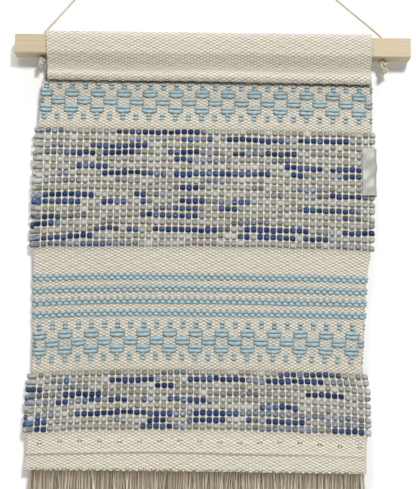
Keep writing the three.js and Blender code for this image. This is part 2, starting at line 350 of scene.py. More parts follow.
def joined(name, pieces):
    """Several skins as one piece."""
    whole = bmesh.new()
    for piece in pieces:
        whole.from_mesh(piece.data)
    mesh = bpy.data.meshes.new(name)
    whole.to_mesh(mesh)
    whole.free()
    mesh.materials.append(pieces[0].data.materials[0])
    for piece in pieces:
        bpy.data.objects.remove(piece)
    made = bpy.data.objects.new(name, mesh)
    bpy.context.collection.objects.link(made)
    return made


print("rolled skins ready")

# %% [markdown]
# ## Where the cloth lies
# The warp runs down, 104 yarns about 3.2 mm apart, and pulls in or spreads a little from
# band to band. Two lists give the selvedges at a few heights, and every warp lies evenly
# between them. The cloth hangs plumb while the bar leans, so its foot sits to the left.
# droop() bends the rows down near the selvedges, and lie() gives the gentle in-and-out
# waves of a cloth that hangs free of the wall.

# %% The cloth's outline
WARPS = 103
SAMPLES_PER_WARP = 4
across = np.linspace(0, WARPS, WARPS * SAMPLES_PER_WARP + 1)
edge_heights = [-425, -397, -385, -340, -320, -300, -235, -204, -84, -38, -20, 14]
left_edge = [-179.4, -177.4, -178.2, -176.2, -174.6, -174.4, -175.2, -176.6, -174.8, -172.6, -167.4, -167.3]
right_edge = [155.0, 154.7, 156.6, 156.0, 151.2, 152.8, 155.7, 160.3, 161.4, 161.8, 160.6, 161.2]


def warp_place(u, z):
    """How far along the bar warp u lies at a height z."""
    left = np.interp(z, edge_heights, left_edge)
    right_side = np.interp(z, edge_heights, right_edge)
    return left + (right_side - left) * u / WARPS


def droop(u, z):
    """How far a beaten row sags towards the selvedges, where the weft turns more loosely."""
    centre_flat = 2.6  # the higher this power, the more of the row's middle stays straight
    heights = [-424, -400, -370, -300, -250, -200, -150, -84, -40]
    left_sag = np.interp(z, heights, [0.6, 4.2, 6.4, 5.3, 4.0, 3.5, 2.6, -0.6, -0.6])
    right_sag = np.interp(z, heights, [0.4, 3.6, 5.4, 1.2, 1.2, 2.6, 1.6, 1.4, 1.4])
    side = np.clip(2 * u / WARPS - 1, -1, 1)
    return np.where(side < 0, left_sag, right_sag) * np.abs(side) ** centre_flat


def lie(x, z):
    """How far the cloth waves back from the bar's middle; it starts flat under the flap."""
    down = np.clip((-38.6 - z) / 60, 0, 1)
    waves = 1.1 * np.sin(z / 52 + 0.8) + 0.8 * np.sin(x / 61 + z / 140)
    ripple = 0.35 * np.sin(x / 23 + z / 19)
    return down * (waves + ripple)


def row_wander(u, seed):
    """The small rise and fall of one beaten row."""
    return 0.5 * np.sin(u / 14 + seed * 1.7) + 0.3 * np.sin(u / 5.2 + seed * 2.9)


print("cloth width at the top, mm:", round(float(warp_place(WARPS, -38) - warp_place(0, -38)), 1))

# %% [markdown]
# ## The woven relief
# In plain weave each weft row goes over one warp and under the next, and its neighbour does
# the opposite. We don't draw that pattern: we place every row's round yarn at its own depth
# and keep the one that is furthest forward, which gives the interlocking grains by itself.
# The same sum with the phase turned over gives the back of the cloth. A row is a yarn 1.36
# mm thick that swings 0.44 mm either way, and a slow change of its thickness (a slub) keeps
# two grains from being alike.

# %% Plain weave
ROW_PITCH = 1.63
YARN_SWING = 0.44
YARN_HALF = 0.68
YARN_REACH = 1.1  # half the height of a flattened yarn, so neighbours overlap
NOTHING = -9.0
DEEPEST = -0.1


def plain_relief(u, s, start, back=False):
    """How far forward the plain cloth stands at warp u and distance s down the cloth."""
    best = np.full(np.broadcast(u, s).shape, NOTHING)
    nearest = np.floor((s - start) / ROW_PITCH)
    for step in (-1, 0, 1):
        row = nearest + step
        middle = start + (row + 0.5) * ROW_PITCH
        slub = 1 + 0.1 * np.sin(u * 0.41 + row * 2.3) + 0.07 * np.sin(u * 1.3 + row * 5.1)
        wave = np.cos(math.pi * (u + row + (1 if back else 0)))
        swing = YARN_SWING * np.sign(wave) * np.abs(wave) ** 0.75
        off = (s - middle + 0.12 * np.sin(u * 0.9 + row)) / YARN_REACH
        height = swing + YARN_HALF * slub * np.sqrt(np.clip(1 - off**2, 0, 1))
        best = np.maximum(best, np.where(np.abs(off) < 1, height, NOTHING))
    return np.maximum(best, DEEPEST)


def painted_light_share(height):
    """How much of the lit colour the finish paints at a point: 0, full painted shade, in the gaps, 1 on top
    of the grains.
    """
    return np.clip((height - 0.1) / 1.1, 0, 1)


print("plain weave: rows every", ROW_PITCH, "mm")

# %% [markdown]
# ## The sleeve
# The cloth passes behind the bar, comes over its top and falls down its front; below the bar
# it slopes back to the panel, where a doubled hem is sewn down. The cloth is stiff, so it
# doesn't follow the bar's sharp front edge: it takes it in a long soft curve, taller than it
# is deep. We describe the cloth's middle as a line in the side view, give it the relief
# outside and leave the hidden inside plain. It is made in a front and a back part, which
# meet on top of the bar.

# %% The sleeve's line
sleeve_out = (bar_half[1] + from_bar("sleeve_top")[1][1]) / 2 + 0.2
front_out = sleeve_out + 0.8
sleeve_top = bar_half[2] + 3.3
BACK_CORNER = 3.8
FRONT_CORNER_DEEP, FRONT_CORNER_TALL = 4.6, 10.5
LINING_DEPTH, LINING_EVERY = 1.1, 8


def arc(y, z, start, stop, deep, tall):
    angles = np.radians(np.linspace(start, stop, 15))
    return [(y + deep * math.cos(a), z + tall * math.sin(a)) for a in angles]


def even_line(points, step=0.46):
    """The line cut to even steps, with the direction square to it."""
    points = np.array(points)
    lengths = np.concatenate([[0], np.cumsum(np.hypot(*np.diff(points, axis=0).T))])
    s = np.linspace(0, lengths[-1], round(lengths[-1] / step) + 1)
    line = np.stack([np.interp(s, lengths, points[:, k]) for k in (0, 1)], axis=-1)
    along = np.gradient(line, axis=0)
    along /= np.linalg.norm(along, axis=1)[:, None]
    return s, line, np.stack([-along[:, 1], along[:, 0]], axis=-1)


flap_foot = [(-4.4, -36.0), (-6.4, -35.6), (-8.2, -34.2), (-8.9, -32.2), (-8.4, -30.0), (-6.6, -27.0)]
below_bar = [(-4.9, -24.8), (-4.1, -22.8), (-4.1, -20.6), (-5.2, -18.0), (-8.8, -13.4)]
front_line = flap_foot + below_bar + [(-front_out + 0.6, -9.8), (-front_out, -7.5)]
front_line += arc(
    -front_out + FRONT_CORNER_DEEP, sleeve_top - FRONT_CORNER_TALL, 180, 90,
    FRONT_CORNER_DEEP, FRONT_CORNER_TALL,
)
front_line += [(0.0, sleeve_top)]
back_line = [(0.0, sleeve_top)]
back_line += arc(
    sleeve_out - BACK_CORNER, sleeve_top - BACK_CORNER, 90, 0, BACK_CORNER, BACK_CORNER
)
back_line += [(sleeve_out, -9.8), (sleeve_out - 0.8, -12.8), (2.2, -34.0), (0.2, -37.6)]
FLAP_LEFT, FLAP_RIGHT = -168.2, 160.6


print("front of the sleeve stands out, mm:", round(float(front_out), 1))

# %% [markdown]
# ## Making the sleeve
# The front is a little narrower than the back and comes in on the way down. Its sewn edge
# is pulled up between the stitches, and it sags slowly towards the right, where it was sewn
# on lower. Both parts are the same function, which lays the relief on a line.

# %% The sleeve's cloth


def flap_edges(u, z):
    """The flap's own selvedges, which come in a little on the way down."""
    drift = np.clip((12 - z) / 45, 0, 1)
    left = FLAP_LEFT + 1.9 * drift
    return left + (FLAP_RIGHT - 0.6 * drift - left) * u / WARPS


def stitched_edge(u):
    """The flap's sewn edge: each stitch lifts it a little, and the whole edge wanders."""
    pull = 0.8 * np.abs(np.sin(math.pi * u / 4)) ** 0.7
    return pull, 0.3 * np.sin(u / 11 + 1.2) - 3.0 * np.clip(u / WARPS - 0.45, 0, 0.55)


def sleeve_part(name, points, edges):
    """One part of the sleeve: the relief outside, and a coarse plain lining on the way back."""
    s, line, normal = even_line(points)
    hidden = slice(None, None, -LINING_EVERY)
    inside = line[hidden] - LINING_DEPTH * normal[hidden]
    u = across[:, None]
    wave = 0.35 * np.sin(u / 9 + s[None, :] / 7) * np.clip(-line[None, :, 1] / 12, 0, 1)
    height = plain_relief(u, s[None, :], 0.0)
    outside = line[None] + (height + wave)[:, :, None] * normal[None]
    inside = np.broadcast_to(inside, (len(across), *inside.shape))
    yz = np.concatenate([outside, inside], axis=1)
    x = edges(u, yz[..., 1])
    if edges is flap_edges:
        pull, slack = stitched_edge(u)
        yz[..., 1] += (pull + slack) * np.clip((-29 - yz[..., 1]) / 5, 0, 1)
    places = np.concatenate([np.broadcast_to(x, yz.shape[:2])[..., None], yz], axis=-1)
    shade = np.concatenate([painted_light_share(height), np.zeros(inside.shape[:2])], axis=1)
    return rolled(name, places, {"relief": shade}, cream)


sleeve_front = sleeve_part("sleeve_front_cloth", front_line, flap_edges)
sleeve_back = sleeve_part("sleeve_back_cloth", back_line, warp_place)
for part in (sleeve_front, sleeve_back):
    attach(part, "sleeve")
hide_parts("sleeve_front", "sleeve_front_slope", "sleeve_top")
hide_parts("sleeve_back", "sleeve_back_slope")
print("sleeve:", len(sleeve_front.data.polygons) + len(sleeve_back.data.polygons), "faces")

# %% [markdown]
# ## The flap's doubled hem
# The end of the flap is turned under and sewn, so it stands out as a soft roll. Each stitch
# pulls its lower edge up a little, which scallops it. It is the same relief, laid round a
# flattened tube.

# %% Flap hem
hem_low, hem_high = from_bar("flap_hem")
hem_middle = (hem_low + hem_high) / 2
hem_half = (hem_high - hem_low) / 2
ROLL_LENGTH = 22.0
ROLL_STEPS = 56
around = np.linspace(0, 2 * math.pi, ROLL_STEPS, endpoint=False)
u, angle = across[:, None], around[None, :]
height = plain_relief(u, angle / (2 * math.pi) * ROLL_LENGTH, 0.0)
swell = 0.55 * (height - 0.9)
pull, slack = stitched_edge(u)
y = hem_middle[1] + 0.6 - (hem_half[1] - 0.5 + swell) * np.cos(angle)
z = hem_middle[2] + (hem_half[2] - 0.3 + swell) * np.sin(angle)
z = z + pull * np.clip(-np.sin(angle), 0, 1) + slack
places = np.stack([np.broadcast_to(flap_edges(u, z), y.shape), y, z], axis=-1)
flap_hem = rolled("flap_hem_roll", places, {"relief": painted_light_share(height)}, cream)
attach(flap_hem, "sleeve")
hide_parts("flap_hem")
print("flap hem rolled from", round(ROLL_LENGTH), "mm of cloth")

# %% [markdown]
# ## The panel's plain and banded ground
# The panel is cut where it folds and where the yarn changes. Each stretch is woven on both
# faces. Behind the thick dyed weft only single warps and thin cream rows show, so that ground
# has its own relief: a ridge where a warp ties down the thick yarn, and a row in each gap.


# %% Reliefs of the bands
def plain_ground(u, s, back):
    return plain_relief(u, s, 0.0, back)


def middles_of(nodes):
    """The height of each node's middle, so the yarns follow the CAD model's own rows."""
    boxes = [from_bar(node) for node in nodes]
    return [(low[2] + high[2]) / 2 for low, high in boxes]


upper_picks = middles_of(f"upper_ikat_pick_{number:02d}" for number in range(1, 18))
lower_picks = middles_of(f"lower_ikat_pick_{number:02d}" for number in range(1, 10))
stripe_middles = middles_of(f"blue_stripe_{number}" for number in range(1, 5))
STRIPE_HALF = 3.0
FIRST_BEAD, LAST_BEAD = 1.1, 103.1  # warps where a thick pick's end beads stand in front


def nearest_off(value, first, pitch):
    """How far value is from the nearest place in an even row of places."""
    return value - first - np.round((value - first) / pitch) * pitch


def pick_pitch(middles):
    return (middles[0] - middles[-1]) / (len(middles) - 1)


def ikat_ground(middles):
    """The ground behind thick picks, as a relief that panel_skin can ask for."""
    pitch = pick_pitch(middles)

    def relief(u, s, back):
        tie = FIRST_BEAD + (0 if back else 1)
        beside = nearest_off(u, tie, 2)
        ridge = 1.5 * np.exp(-((beside / 0.14) ** 2))
        down = nearest_off(s, -middles[0] + pitch / 2, pitch)
        dome = np.sqrt(np.clip(1 - (down / 1.5) ** 2, 0, 1))
        row = 0.8 * dome + 0.24 * np.cos(math.pi * (u - tie)) - 0.1
        return np.maximum(np.maximum(ridge, row), 0.1) + 0 * s

    return relief


def striped_ground(u, s, back):
    """Plain cloth that lies low behind each stripe."""
    height = plain_relief(u, s, 0.0, back)
    for middle in stripe_middles:
        height = np.where(np.abs(s + middle) < STRIPE_HALF, np.minimum(height, 0.1), height)
    return height


print("thick picks every", round(pick_pitch(upper_picks), 1), "mm")

# %% [markdown]
# ## Weaving the ground
# The heights at which a stretch is sampled follow its weave. Plain cloth takes an even step
# of about a third of a row. Behind the thick picks nothing small shows, so a few heights for
# each pick are enough, closest together in the gap where the thin cream row lies. Plain
# cloth close beside a thick band gets less light, and its finish is told so.


# %% Panel ground
def even_heights(top, bottom, step=0.48):
    return np.linspace(top, bottom, round((top - bottom) / step) + 1)


def pick_heights(middles, top, bottom):
    steps = pick_pitch(middles) * np.array([0.5, 0.41, 0.31, 0, -0.31, -0.41])
    inside = [middle + step for middle in middles for step in steps]
    return np.array([top] + [z for z in inside if bottom < z < top] + [bottom])


def tucked(z):
    """Less light reaches plain cloth close beside the thick bands."""
    band_ends = np.array([band_top, ikat_foot, lower_top, lower_foot])
    apart = np.abs(z[..., None] - band_ends).min(-1)
    return 1 - 0.22 * np.exp(-((apart / 4.5) ** 2))


def panel_skin(name, heights, relief):
    """A stretch of the flat cloth through the given heights, woven on both faces."""
    z = np.concatenate([heights, heights[::-1]])[None, :]
    is_back = np.repeat([[False, True]], len(heights), axis=1)
    u = across[:, None]
    height = np.where(is_back, relief(u, -z, True), relief(u, -z, False))
    x = warp_place(u, z)
    y = lie(x, z) + np.where(is_back, height, -height)
    places = np.stack([x, y, z - droop(u, z)], axis=-1)
    return rolled(name, places, {"relief": painted_light_share(height) * tucked(z)}, cream)


band_top = from_bar("upper_ikat_pick_01")[1][2]
fold = from_bar("plain_band_below_fold")[1][2]
stripes_top = from_bar("blue_stripe_1")[1][2]
stripes_foot = from_bar("blue_stripe_4")[0][2]
ikat_foot = from_bar("upper_ikat_pick_17")[0][2]
lower_fold = from_bar("plain_band_lower_fold")[1][2]
lower_top = from_bar("lower_ikat_pick_01")[1][2]
lower_foot = from_bar("lower_ikat_pick_09")[0][2]
PANEL_TOP = -36.0
ground = {
    "upper_diamond_ground": (even_heights(PANEL_TOP, band_top), plain_ground),
    "upper_ikat_ground": (pick_heights(upper_picks, band_top, ikat_foot), ikat_ground(upper_picks)),
    "plain_ground": (even_heights(ikat_foot, stripes_top), plain_ground),
    "striped_ground": (even_heights(stripes_top, stripes_foot), striped_ground),
    "lower_diamond_ground": (even_heights(stripes_foot, lower_top), plain_ground),
    "lower_ikat_ground": (pick_heights(lower_picks, lower_top, lower_foot), ikat_ground(lower_picks)),
}
skins = {name: panel_skin(name, *made) for name, made in ground.items()}
for name, skin in skins.items():
    print(name, len(skin.data.polygons), "faces")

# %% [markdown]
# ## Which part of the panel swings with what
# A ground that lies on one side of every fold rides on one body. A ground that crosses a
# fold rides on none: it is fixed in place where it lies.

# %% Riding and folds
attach(skins["upper_ikat_ground"], "upper_panel")
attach(skins["striped_ground"], "middle_panel")
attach(skins["lower_ikat_ground"], "lower_panel")


def fold_over(skin, height, reach=4.0):
    """The skin is fixed in place where it lies; places above and below height are worked out but not used.
    """
    places = [bar_middle + np.array((0, 0, height + side * reach)) * MM for side in (1, -1)]
    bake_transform(skin)


TOP_FOLD, TOP_FOLD_REACH = -40.0, 4.5
fold_over(skins["upper_diamond_ground"], TOP_FOLD, TOP_FOLD_REACH)
fold_over(skins["plain_ground"], fold - 1.2)
fold_over(skins["lower_diamond_ground"], lower_fold - 1.2, 2.2)
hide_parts("upper_diamond_band")
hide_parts("plain_band_above_fold", "plain_band_below_fold")
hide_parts(*(f"stripe_spacer_{n}" for n in (1, 2, 3)))
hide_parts("lower_diamond_band", "plain_band_lower_fold")
print("folds at", round(fold - 1.2), "and", round(lower_fold - 1.2), "mm")

# %% [markdown]
# ## Yarns that run across
# A thick weft yarn is a soft rope that swells where it lies in front and thins where it
# dives behind a warp. One function makes any such yarn from its height, its depth and its
# two half sizes at each warp. It also notes how much light each side gets: the front most,
# the top and bottom less, and the underside least. No two beads of a handspun yarn are
# alike, so a fixed draw of random numbers gives each bead its own small difference.


# %% Yarn across the cloth
UNDERSIDE_SHADE = 0.35
MOST_BEADS = 60


def cross_yarn(name, u, z, depth, tall, thick, material, dye=0.0, sides=10, shaded=0.55):
    """A weft yarn through warps u; depth is how far its middle stands to the front."""
    angle = np.linspace(0, 2 * math.pi, sides, endpoint=False)[None, :]
    x = warp_place(u, z)[:, None] + 0 * angle
    y = (lie(x, z[:, None]) - depth[:, None]) - thick[:, None] * np.cos(angle)
    lifted = (z - droop(u, z))[:, None] + tall[:, None] * np.sin(angle)
    places = np.stack([x, y, lifted], axis=-1)
    outward = np.abs(np.cos(angle)) * shaded + 1 - shaded
    outward = outward * (1 - UNDERSIDE_SHADE * np.clip(-np.sin(angle), 0, 1))
    shade = np.clip((tall / tall.max())[:, None] ** 2 * outward, 0, 1)
    values = {"relief": shade, "dye": np.broadcast_to(np.asarray(dye)[..., None], x.shape)}
    return rolled(name, places, values, material)


def unevenness(u, seed):
    """One random number for each bead of a yarn, about -1 to 1."""
    table = np.random.default_rng(seed).normal(0, 0.6, MOST_BEADS)
    bead = (u - FIRST_BEAD) / 2 + 2
    return table[np.clip(np.rint(bead), 0, MOST_BEADS - 1).astype(int)]


def dive_depth(off, front, travel, start):
    """The way from in front of a warp to behind it; off is the distance from a bead's middle."""
    dive = np.clip((off - start) / (1 - start), 0, 1)
    return front - travel * dive**2 * (3 - 2 * dive)


def rounded_ends(u, size, reach=0.9):
    """The yarn's cut ends are drawn in to a blunt tip."""
    near = np.minimum(u - u[0], u[-1] - u) / reach
    return size * np.sqrt(np.clip(1 - (1 - np.clip(near, 0.02, 1)) ** 2, 0.01, 1))


print("beads on a thick pick:", round((LAST_BEAD - FIRST_BEAD) / 2) + 1)

# %% [markdown]
# ## The dyed picks
# Each thick pick is one yarn. The dye plan is written as a dyer would note it: for every
# pick, the runs of beads that were left free of the ties, with how deep the dye took. p is
# pale, s slate, m mid blue, d dark and n full navy. The edges of each dip are softened,
# because dye creeps under the ties.

# %% The dyer's plan
DEPTH = {"p": 0.28, "s": 0.42, "m": 0.68, "d": 0.84, "n": 1.0}
UPPER_PLAN = [
    "s1-4 m13-16 n17-25 s26-26",
    "s15-16 s20-20 m23-24 s25-26 d27-27 n30-36 m37-38 s39-40 d41-45 n46-48 p49-50",
    "s3-4 m9-11 d12-17 s34-34",
    "s2-4 m5-6 n7-9 p10-10 n11-15 s16-16 m21-22 n23-25 s26-28 m31-32 s33-35 d36-40",
    "d22-24 s25-30 s37-39",
    "p6-6 d7-7 m8-9 n10-11 n39-41 m42-42 n43-44 d46-50",
    "s4-5 n11-16 m17-20 n22-24 m25-28 n29-30 m31-34 d35-36 n40-41 s42-43 s46-47 d48-50",
    "s2-7 s13-16 s26-30",
    "s21-22 n23-25 s26-26 s34-35 s40-44",
    "s0-1 m2-2 n3-9 d16-17 s19-20 s37-38 s43-45 d46-50 s51-51",
    "m0-3 d4-7 n11-12 m13-14 d17-17 s18-18 n23-26 s27-30 m31-33",
    "s19-21 m22-25 d29-31 s41-41 d42-46 m47-49 s50-50",
    "s0-1 n2-3 m4-4 s5-8 m17-17 n18-18 m19-24 d25-25 s26-26 m48-48 s49-50",
    "n0-2 m3-3 s4-4 s31-36",
    "m10-13 m15-16 m19-20 n21-28 s29-30 n33-37 d38-42 s44-46 m48-50 n51-52",
    "s0-1 m2-5 n6-9 s10-10 m32-32 n33-33 d35-40 d42-45",
    "s0-7 m8-11 s12-16 s47-50",
]
LOWER_PLAN = [
    "s21-24 m39-44 d45-46 m47-48",
    "s4-5 m6-6 n13-19 s20-20 d25-28 n29-33 s34-36 n37-45 s47-49",
    "d0-2 s5-9 n20-22",
    "s0-5 n6-11 s12-12 s30-35 d43-45 n46-48",
    "s0-4 d5-6 s7-8 m9-11 d13-15 s16-16 m18-18 m22-24 n25-27 s28-28",
    "m36-38 n39-41",
    "m0-0 m2-2 s3-4 m8-8 n9-16 d17-22 s23-25 n26-30 m31-32 s33-51",
    "m0-1 d2-3 s14-15 n19-21 m25-25 n26-30 d34-34 s35-36 n37-38 d39-42 s46-51",
    "d2-3 m18-22 s23-24 s35-44 m47-48 n49-51",
]


def dye_along(u, plan):
    """The depth of dye at warp u: each bead spans two warps."""
    creep, sharpness = 0.75, 2.2
    bead = (u - FIRST_BEAD) / 2 + 1
    depth = np.zeros_like(u)
    for dip in plan.split():
        first, last = (float(end) for end in dip[1:].split("-"))
        inside = np.minimum(bead - first + creep, last - bead + creep)
        inside = np.clip(inside * sharpness, 0, 1)
        depth = np.maximum(depth, DEPTH[dip[0]] * inside)
    return depth


print("dips in the plan:", sum(len(line.split()) for line in UPPER_PLAN + LOWER_PLAN))

# %% [markdown]
# ## Weaving the dyed picks
# Every thick pick goes over one warp and under the next, all in the same shed, so its beads
# stand in columns. A bead is a short barrel: full over most of its width, and drawn in hard
# where the next warp ties it down. The pick wanders a little as it was beaten in, and its
# ends swell where the yarn turns round the selvedge.

# %% Weave the dyed picks
pick_across = np.linspace(-1.3, WARPS + 1.1, 520)
BEAD_WAIST, BEAD_SWELL, BARREL_POWER = 1.55, 1.1, 3.1
PICK_END_REACH = 0.5


def pick_height(u, number):
    """How a beaten pick rises and falls, bead by bead."""
    slow = 0.55 * np.sin(u / 7.3 + number * 0.8) + 0.4 * np.sin(u / 3.3 + number * 1.9)
    return slow + 0.58 * unevenness(u, number)


def weave_picks(prefix, middles, plans, body):
    for number, (middle, plan) in enumerate(zip(middles, plans)):
        u = pick_across
        inner = np.clip(u, FIRST_BEAD, LAST_BEAD)
        off = np.abs(nearest_off(inner, FIRST_BEAD, 2))
        turn_right = np.clip((u - WARPS + 0.4) / 1.5, 0, 1) ** 2
        turn_left = np.clip((0.1 - u) / 1.4, 0, 1) ** 2
        way = 1 if number % 2 else -1
        z = middle + (turn_right - turn_left) * way * pick_pitch(middles) * 0.13
        z = z + pick_height(u, number)
        barrel = np.sqrt(1 - off**BARREL_POWER)
        plump = (BEAD_WAIST + BEAD_SWELL * barrel) * (1 + 0.18 * unevenness(u, number + 50))
        plump = plump + 0.7 * (turn_left + turn_right)
        tall = rounded_ends(u, plump, PICK_END_REACH)
        thick = rounded_ends(u, 1.0 + 0.8 * (1 - off**2), PICK_END_REACH)
        depth = dive_depth(off, 0.6, 1.25, 0.5)
        dye = dye_along(u, plan)
        dye = np.clip(dye + 0.07 * unevenness(u, number + 90) * (0.3 + dye), 0, 1)
        name = f"{prefix}_yarn_{number + 1:02d}"
        made = cross_yarn(name, u, z, depth, tall, thick, ikat, dye, shaded=0.9)
        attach(made, body)
        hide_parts(f"{prefix}_{number + 1:02d}")


weave_picks("upper_ikat_pick", upper_picks, UPPER_PLAN, "upper_panel")
weave_picks("lower_ikat_pick", lower_picks, LOWER_PLAN, "lower_panel")
print("dyed picks:", len(upper_picks) + len(lower_picks))

# %% [markdown]
# ## Pale blue stripes
# Each stripe is two thick picks beaten close together in opposite sheds, so the grains of one
# sit in the gaps of the other and the pair looks like a laid rope.

# %% Pale blue stripes
stripe_across = np.linspace(-0.5, WARPS + 0.5, 420)
ROW_APART = 1.6
GRAIN_SLANT = 0.45
for number, middle in enumerate(stripe_middles, start=1):
    pair = []
    for side in (0, 1):
        u = stripe_across
        beside = nearest_off(u, FIRST_BEAD + side, 2)
        off = np.abs(beside)
        up = 1 if side == 0 else -1
        z = middle + ROW_APART * up + 0.4 * row_wander(u, number)
        z = z + GRAIN_SLANT * beside * (1 - off) * up
        z = z + 0.12 * unevenness(u - side, number + side * 10)
        tall = rounded_ends(u, 0.85 + 1.15 * np.sqrt(1 - off**2.2))
        thick = rounded_ends(u, 0.8 + 0.8 * (1 - off**2))
        depth = dive_depth(off, 0.75, 1.5, 0.45)
        pair.append(cross_yarn("row", u, z, depth, tall, thick, pale_blue, shaded=0.85))
    stripe = joined(f"pale_stripe_{number}", pair)
    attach(stripe, "middle_panel")
    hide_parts(f"blue_stripe_{number}")
print("stripes:", len(stripe_middles))

# %% [markdown]
# ## The diamond bands
# A soft pale blue yarn floats over about five warps, then travels behind the cloth. Two
# picks make a block, each row of blocks is half a period off the last, and single dots
# border the band above and below. On the back of the cloth the spaces show as floats. A
# block's two floats lean towards each other at their ends, where the warp pinches them.
# The upper band starts at the fold under the flap, and like its ground it is fixed in place where it lies.

# %% Diamond bands
BLOCK_PERIOD = 8.12
DOT_PERIOD = BLOCK_PERIOD / 2
BLOCK_HALF, DOT_HALF = 2.35, 0.85
BLOCK_FULL, DOT_FULL, BETWEEN_FULL = 2.1, 1.65, 0.9
UPPER_BLOCK_START, LOWER_BLOCK_START = 1.5, 1.9
float_across = np.linspace(-0.2, WARPS + 0.2, 470)


def float_rows(top_dots, blocks, foot_dots):
    """Each row's height, first float, period, half width, and the way its ends lean."""
    rows = [(z, 0.0, DOT_PERIOD, DOT_HALF, 0) for z in top_dots]
    for k, (upper, lower) in enumerate(blocks):
        offset = (k % 2) * BLOCK_PERIOD / 2
        rows.append((upper, offset, BLOCK_PERIOD, BLOCK_HALF, -1))
        rows.append((lower, offset, BLOCK_PERIOD, BLOCK_HALF, 1))
    return rows + [(z, 0.0, DOT_PERIOD, DOT_HALF, 0) for z in foot_dots]


def weave_floats(name, rows, start, body):
    """All of a band's float yarns as one piece; start is the warp under the first float."""
    yarns = []
    for number, (middle, offset, period, half, lean) in enumerate(rows):
        u = float_across
        off = np.abs(nearest_off(u, start + offset, period))
        front = np.clip((half - off) / 0.36, -1, 1)
        front = np.sin(front * math.pi / 2)
        is_block = period == BLOCK_PERIOD
        front = np.maximum(front, np.clip((1.2 - u) / 0.4, -1, 1) * is_block)
        full = BLOCK_FULL if is_block else DOT_FULL
        out = np.clip(off / half, 0, 1)
        uneven = 1 + 0.09 * np.sin(u * 2.9 + number * 2.3) + 0.07 * np.sin(u * 0.77 + number * 4.1)
        plump = uneven * (1.08 - (0.42 if is_block else 0.3) * out**2.4)
        swell = (full - BETWEEN_FULL) * np.clip(front, 0, 1) * plump
        tall = rounded_ends(u, BETWEEN_FULL + swell)
        tall = tall + rounded_ends(u, 0.8 * np.clip(-front, 0, 1))
        thick = rounded_ends(u, 0.65 + (1.15 if is_block else 0.6) * np.abs(front) * plump)
        z = middle + 0.2 * row_wander(u, number * 0.7) + 0.12 * np.sin(u * 1.4 + number)
        z = z + lean * 0.75 * out**2
        depth = 1.25 * front - 0.5 * (1 - np.abs(front))
        made = cross_yarn("float", u, z, depth, tall, thick, pale_blue, sides=8, shaded=0.9)
        yarns.append(made)
    band = joined(name, yarns)
    if body == "upper_panel":
        fold_over(band, TOP_FOLD, TOP_FOLD_REACH)
    else:
        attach(band, body)


def block_pairs(middles, apart=2.05):
    return [(middle + apart, middle - apart) for middle in middles]


upper_rows = float_rows((-39.6, -43.2), block_pairs((-48.7, -56.9, -65.1)), (-70.6, -74.4))
lower_rows = float_rows((-279.2, -283.1), block_pairs((-289.6, -297.6, -305.4)), (-310.6, -315.0))
weave_floats("upper_diamond_floats", upper_rows, UPPER_BLOCK_START, "upper_panel")
weave_floats("lower_diamond_floats", lower_rows, LOWER_BLOCK_START, "middle_panel")
print("float rows:", len(upper_rows) + len(lower_rows))

# %% [markdown]
# ## The bottom hem
# The cloth's foot is turned up at the back and sewn through, so the hem is twice as thick.
# The needle leaves a pair of small holes at every stitch, and the turned edge prints through
# as a soft groove with a low ridge above it. The warp bundles that leave the hem give it a
# scalloped edge. Holes and groove are dents in the same relief, and a number called
# hole_and_groove_shade paints shade into them, because so small a hole would hardly show by
# its shape alone.

# %% Bottom hem
hem_low, hem_high = from_bar("bottom_hem")
HEM_FOOT = hem_low[2] - 1.4
FOOT_ROUND = 2.0
STITCH_HEIGHT, GROOVE_HEIGHT, TURN_UP_HEIGHT = -396.2, -408.4, -393.5
FIRST_STITCH, STITCH_PITCH = -165.0, 19.6
HOLE_GAP, HOLE_SIZE = 3.1, 0.95
foot_start = HEM_FOOT + FOOT_ROUND
foot_heights = foot_start - FOOT_ROUND * np.sin([0.5, 0.95, 1.35])
heights = np.concatenate([even_heights(lower_foot, foot_start), foot_heights])
z = np.concatenate([heights, heights[::-1]])[None, :]
is_back = np.repeat([[False, True]], len(heights), axis=1)
u = across[:, None]
x = warp_place(u, z)
height = np.where(is_back, plain_relief(u, -z, 0.0, True), plain_relief(u, -z, 0.0))
doubled = np.clip((TURN_UP_HEIGHT - z) / 3.0, 0, 1)
stand = np.where(is_back, 1.5, 0.75) * doubled
ripple = 0.5 * np.sin(x / 30) - 0.6 * np.abs(np.sin(math.pi * u / 2))
groove = np.exp(-(((z - GROOVE_HEIGHT + ripple) / 0.8) ** 2))
groove = groove * np.clip((130 - x) / 60, 0.25, 1) * ~is_back
beside = nearest_off(x, FIRST_STITCH, STITCH_PITCH)
hole_height = z - STITCH_HEIGHT + 0.8 * np.sin(x / 17)
holes = 0 * x
for side in (-0.5, 0.5):
    apart = np.hypot(beside - side * HOLE_GAP, hole_height) / HOLE_SIZE
    holes = np.maximum(holes, np.clip(1.5 - apart, 0, 1))
ridge = 0.6 * np.exp(-(((z - GROOVE_HEIGHT - 2.6) / 1.9) ** 2)) * ~is_back
depth = height + stand + ridge - 0.9 * groove - 1.0 * holes
rounding = np.sqrt(np.clip(1 - ((HEM_FOOT + 4.2 - z) / 4.3).clip(0, 1) ** 2, 0, 1))
y = lie(x, z) + np.where(is_back, depth, -depth) * rounding
scallop = 0.9 * np.abs(np.sin(math.pi * u / 2)) * np.clip((HEM_FOOT + 4 - z) / 4, 0, 1)
places = np.stack([x, y, z + scallop - droop(u, z)], axis=-1)
# Painted shade darkens the needle holes and the groove.
shade = painted_light_share(height) * (1 - 0.8 * groove) * tucked(z)
values = {"relief": shade, "hole_and_groove_shade": np.maximum(holes, 0.42 * groove)}
hem = rolled("bottom_hem_cloth", places, values, hem_cream)
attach(hem, "lower_panel")
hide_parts("bottom_hem", "plain_band_above_hem")
print("hem faces:", len(hem.data.polygons))
